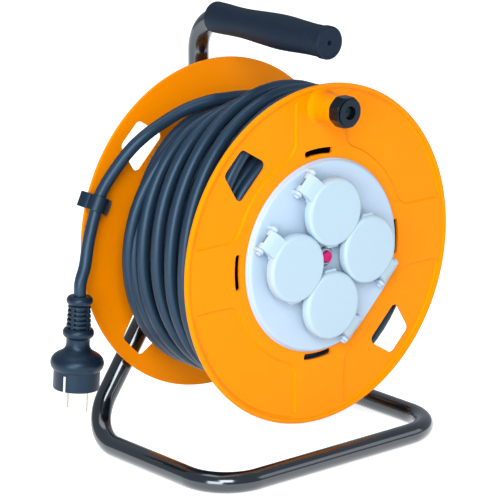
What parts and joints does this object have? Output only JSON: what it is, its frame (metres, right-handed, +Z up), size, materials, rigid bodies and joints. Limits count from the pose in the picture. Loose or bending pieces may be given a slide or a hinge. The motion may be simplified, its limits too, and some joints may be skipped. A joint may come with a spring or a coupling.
{
  "type": "extension cord reel",
  "caption": "Open cable drum with lidded sockets and a crank knob, turning on a bent-tube stand with a handle, with a plug on its free cord.",
  "frame": {"origin": "middle of the stand's footprint, on the floor", "axes": "+Z up, -Y towards the sockets, drum axis along Y, cord hanging on the -X side"},
  "size_m": [0.3329, 0.2021, 0.3768],
  "materials": {
    "orange_plastic": "glossy moulded plastic",
    "black_tube": "gloss black lacquer",
    "grip_rubber": "matt rubber",
    "zinc_steel": "zinc plated",
    "white_acetal": "natural",
    "panel_plastic": "satin pale blue-grey",
    "lid_plastic": "satin pale blue-grey",
    "spring_steel": "bright",
    "brass": "bright",
    "black_plastic": "satin",
    "red_plastic": "glossy",
    "cable_rubber": "satin rubber sheath",
    "nickel": "nickel plated"
  },
  "bodies": {
    "stand": {"frame_tube": "black_tube", "handle_grip": "grip_rubber", "axle_bracket": "black_tube", "axle_washer": "zinc_steel", "axle_nut": "zinc_steel", "cable_tail": "cable_rubber", "plug_body": "black_plastic", "plug_pin_1": "nickel", "plug_pin_2": "nickel", "plug_earth_1": "nickel", "plug_earth_2": "nickel"},
    "drum": {"knob_pin": "zinc_steel", "carrier_screw_1": "zinc_steel", "carrier_screw_2": "zinc_steel", "flange_screw_1": "zinc_steel", "flange_screw_2": "zinc_steel", "flange_screw_3": "zinc_steel", "flange_screw_4": "zinc_steel", "hub_bush_front": "white_acetal", "hub_bush_rear": "white_acetal", "front_flange": "orange_plastic", "rear_flange": "orange_plastic", "drum_barrel": "orange_plastic", "socket_panel": "panel_plastic", "socket_insert_1": "panel_plastic", "socket_insert_2": "panel_plastic", "socket_insert_3": "panel_plastic", "socket_insert_4": "panel_plastic", "hinge_pin_1": "spring_steel", "hinge_pin_2": "spring_steel", "hinge_pin_3": "spring_steel", "hinge_pin_4": "spring_steel", "lid_spring_1": "spring_steel", "lid_spring_2": "spring_steel", "lid_spring_3": "spring_steel", "lid_spring_4": "spring_steel", "busbar_line": "brass", "busbar_neutral": "brass", "earth_strap_1": "brass", "earth_strap_2": "brass", "earth_strap_3": "brass", "earth_strap_4": "brass", "contact_carrier": "black_plastic", "thermal_cutout": "black_plastic", "cord_clip": "black_plastic", "winding_core": "cable_rubber", "cable_winding": "cable_rubber"},
    "reset_button": {"reset_button": "red_plastic"},
    "crank_knob": {"crank_knob": "black_plastic"},
    "lid_1": {"socket_lid_1": "lid_plastic"},
    "lid_2": {"socket_lid_2": "lid_plastic"},
    "lid_3": {"socket_lid_3": "lid_plastic"},
    "lid_4": {"socket_lid_4": "lid_plastic"}
  },
  "joints": [
    {"name": "drum_spin", "type": "hinge", "parent": "stand", "child": "drum", "pos_m": [0, 0.0038, 0.181], "axis": [0, 1, 0], "continuous": true},
    {"name": "knob_spin", "type": "hinge", "parent": "drum", "child": "crank_knob", "pos_m": [0, -0.0952, 0.308], "axis": [0, 1, 0], "continuous": true},
    {"name": "reset_press", "type": "slide", "parent": "drum", "child": "reset_button", "axis": [0, 1, 0], "range_m": [0, 0.0025], "stiffness_N_per_m": 400, "springref_m": -0.002},
    {"name": "lid_hinge_1", "type": "hinge", "parent": "drum", "child": "lid_1", "pos_m": [-0.02616, -0.0763, 0.24816], "axis": [-0.7071, 0, -0.7071], "range_deg": [0, 150], "stiffness_Nm_per_rad": 0.03, "springref_deg": -28.65},
    {"name": "lid_hinge_2", "type": "hinge", "parent": "drum", "child": "lid_2", "pos_m": [-0.06716, -0.0763, 0.20716], "axis": [-0.7071, 0, -0.7071], "range_deg": [0, 150], "stiffness_Nm_per_rad": 0.03, "springref_deg": -28.65},
    {"name": "lid_hinge_3", "type": "hinge", "parent": "drum", "child": "lid_3", "pos_m": [0.02616, -0.0763, 0.11384], "axis": [0.7071, 0, 0.7071], "range_deg": [0, 150], "stiffness_Nm_per_rad": 0.03, "springref_deg": -28.65},
    {"name": "lid_hinge_4", "type": "hinge", "parent": "drum", "child": "lid_4", "pos_m": [0.06716, -0.0763, 0.15484], "axis": [0.7071, 0, 0.7071], "range_deg": [0, 150], "stiffness_Nm_per_rad": 0.03, "springref_deg": -28.65}
  ]
}
